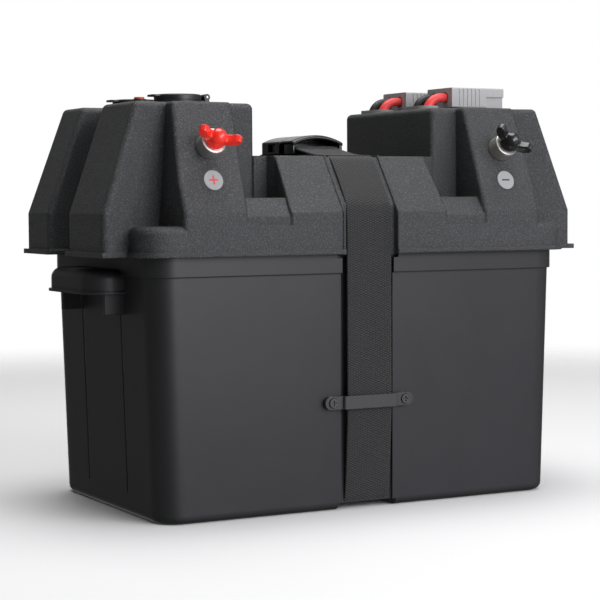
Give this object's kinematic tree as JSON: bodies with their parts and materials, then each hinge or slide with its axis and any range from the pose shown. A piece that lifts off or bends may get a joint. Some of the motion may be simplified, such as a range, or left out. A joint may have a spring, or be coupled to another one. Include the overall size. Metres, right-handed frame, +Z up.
{
  "type": "portable battery box",
  "caption": "Strapped battery box with a towered lid, terminal studs, accessory sockets, breaker and high-current connectors.",
  "frame": {"origin": "centre of the flat underside", "axes": "+X along the long side towards the connector tower, -Y towards the terminal studs, +Z up"},
  "size_m": [0.408, 0.2262, 0.3198],
  "materials": {
    "lid_plastic": "stippled black",
    "tub_plastic": "satin black",
    "webbing": "woven black",
    "guide_plastic": "smooth black",
    "buckle_plastic": "polished black",
    "zinc": "zinc plated",
    "black_steel": "black oxide",
    "nickel": "turned, nickel plated",
    "red_cover": "dipped, glossy",
    "black_cover": "dipped, glossy",
    "badge_grey": "satin",
    "mark_ink": "printed",
    "socket_plastic": "satin black",
    "button_orange": "smooth",
    "connector_grey": "moulded grey",
    "contact_silver": "silver plated",
    "grommet_grey": "moulded",
    "red_insulation": "smooth",
    "black_insulation": "smooth",
    "battery_plastic": "fine texture",
    "battery_cover_plastic": "fine texture",
    "lead_metal": "cast lead"
  },
  "bodies": {
    "tub": {"tub": "tub_plastic", "strap_lower": "webbing", "strap_guide_front": "guide_plastic", "strap_guide_rear": "guide_plastic", "guide_screws": "black_steel", "battery_case": "battery_plastic", "battery_cover": "battery_cover_plastic", "battery_post_positive": "lead_metal", "battery_post_negative": "lead_metal", "post_bolts": "zinc", "positive_lead_lower": "red_insulation", "negative_lead_lower": "black_insulation"},
    "lid": {"lid": "lid_plastic", "strap_upper": "webbing", "positive_lead_upper": "red_insulation", "negative_lead_upper": "black_insulation", "collar_positive": "nickel", "collar_negative": "nickel", "stud_positive": "zinc", "stud_negative": "zinc", "stud_nuts": "zinc", "badge_positive": "badge_grey", "badge_negative": "badge_grey", "polarity_marks": "mark_ink", "socket_front": "socket_plastic", "socket_rear": "socket_plastic", "socket_nuts": "socket_plastic", "cap_pins": "zinc", "breaker_body": "socket_plastic", "breaker_nut": "zinc", "connector_front": "connector_grey", "connector_rear": "connector_grey", "connector_pads": "socket_plastic", "connector_contacts": "contact_silver", "connector_screws": "zinc", "cable_grommets": "grommet_grey", "red_lead_front": "red_insulation", "black_lead_front": "black_insulation", "red_lead_rear": "red_insulation", "black_lead_rear": "black_insulation", "junction_box": "socket_plastic", "buckle_socket": "buckle_plastic"},
    "wing_nut_positive": {"wing_nut_positive": "red_cover"},
    "wing_nut_negative": {"wing_nut_negative": "black_cover"},
    "socket_cap_front": {"socket_cap_front": "socket_plastic"},
    "socket_cap_rear": {"socket_cap_rear": "socket_plastic"},
    "breaker_button": {"breaker_button": "button_orange"},
    "buckle_plug": {"buckle_plug": "buckle_plastic"},
    "buckle_prong_left": {"buckle_prong_left": "buckle_plastic"},
    "buckle_prong_right": {"buckle_prong_right": "buckle_plastic"}
  },
  "joints": [
    {"name": "lid_lift", "type": "slide", "parent": "tub", "child": "lid", "axis": [0, 0, 1], "range_m": [0, 0.08]},
    {"name": "nut_positive_spin", "type": "hinge", "parent": "lid", "child": "wing_nut_positive", "pos_m": [-0.1255, -0.10475, 0.27502], "axis": [0, -0.9386, 0.3451], "continuous": true},
    {"name": "nut_negative_spin", "type": "hinge", "parent": "lid", "child": "wing_nut_negative", "pos_m": [0.1255, -0.10475, 0.27502], "axis": [0, -0.9386, 0.3451], "continuous": true},
    {"name": "cap_front_flip", "type": "hinge", "parent": "lid", "child": "socket_cap_front", "pos_m": [-0.1056, -0.04, 0.3075], "axis": [0, 1, 0], "range_deg": [0, 105]},
    {"name": "cap_rear_flip", "type": "hinge", "parent": "lid", "child": "socket_cap_rear", "pos_m": [-0.1056, 0.04, 0.3075], "axis": [0, 1, 0], "range_deg": [0, 105]},
    {"name": "breaker_pop", "type": "slide", "parent": "lid", "child": "breaker_button", "axis": [0, 0, 1], "range_m": [0, 0.003]},
    {"name": "plug_release", "type": "slide", "parent": "lid", "child": "buckle_plug", "axis": [0, -1, 0], "range_m": [0, 0.022]},
    {"name": "prong_left_press", "type": "slide", "parent": "buckle_plug", "child": "buckle_prong_left", "axis": [1, 0, 0], "range_m": [0, 0.0025], "stiffness_N_per_m": 400},
    {"name": "prong_right_press", "type": "slide", "parent": "buckle_plug", "child": "buckle_prong_right", "axis": [-1, 0, 0], "range_m": [0, 0.0025], "stiffness_N_per_m": 400}
  ]
}
